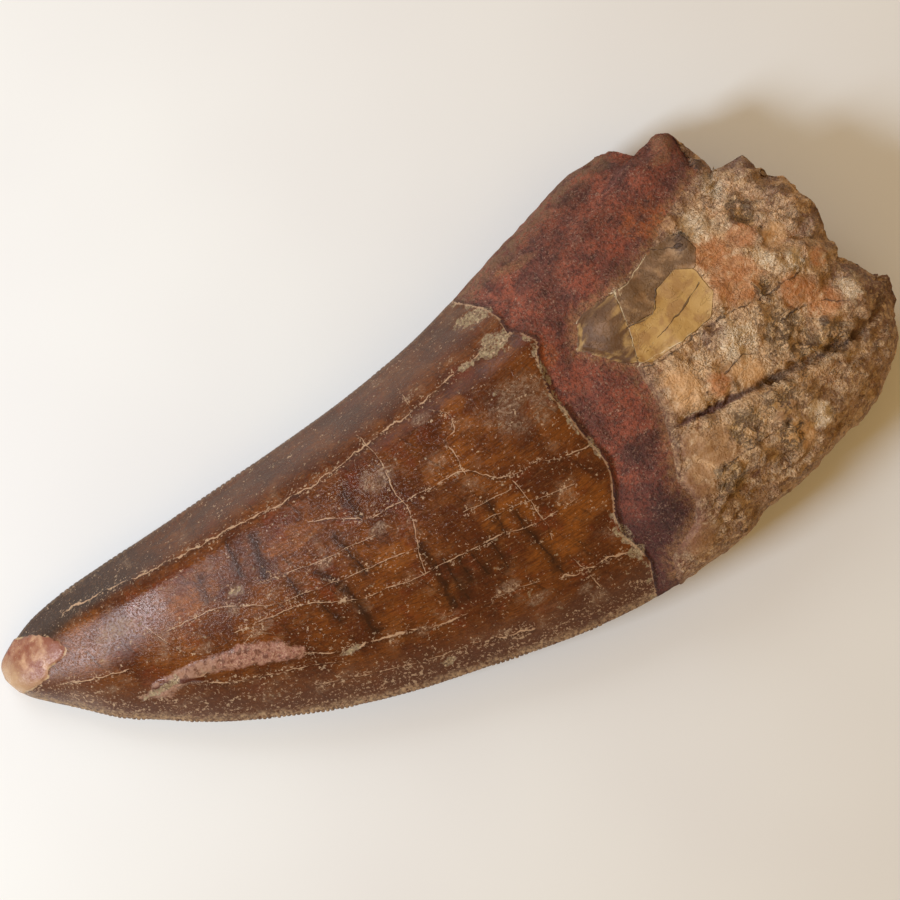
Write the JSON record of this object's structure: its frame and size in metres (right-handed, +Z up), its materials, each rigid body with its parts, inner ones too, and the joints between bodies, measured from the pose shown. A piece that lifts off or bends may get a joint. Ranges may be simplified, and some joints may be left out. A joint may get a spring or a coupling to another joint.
{
  "type": "fossil theropod tooth",
  "caption": "Large curved blade-like fossil tooth with saw edges and a broken root, lying on one face; a display specimen.",
  "frame": {"origin": "middle of the bounding box, at the height of the surface that the tooth lies on", "axes": "+X from the tip to the root along the longest extent, +Y towards the hollow rear edge, +Z up out of the surface"},
  "size_m": [0.0902, 0.0382, 0.0151],
  "materials": {
    "tooth": "glossy brown enamel with fine pale cracks and sand in them, grading into a matt red-brown sandstone band and rough ochre fossil bone"
  },
  "bodies": {
    "root": {"fossil_tooth": "tooth"}
  },
  "joints": []
}
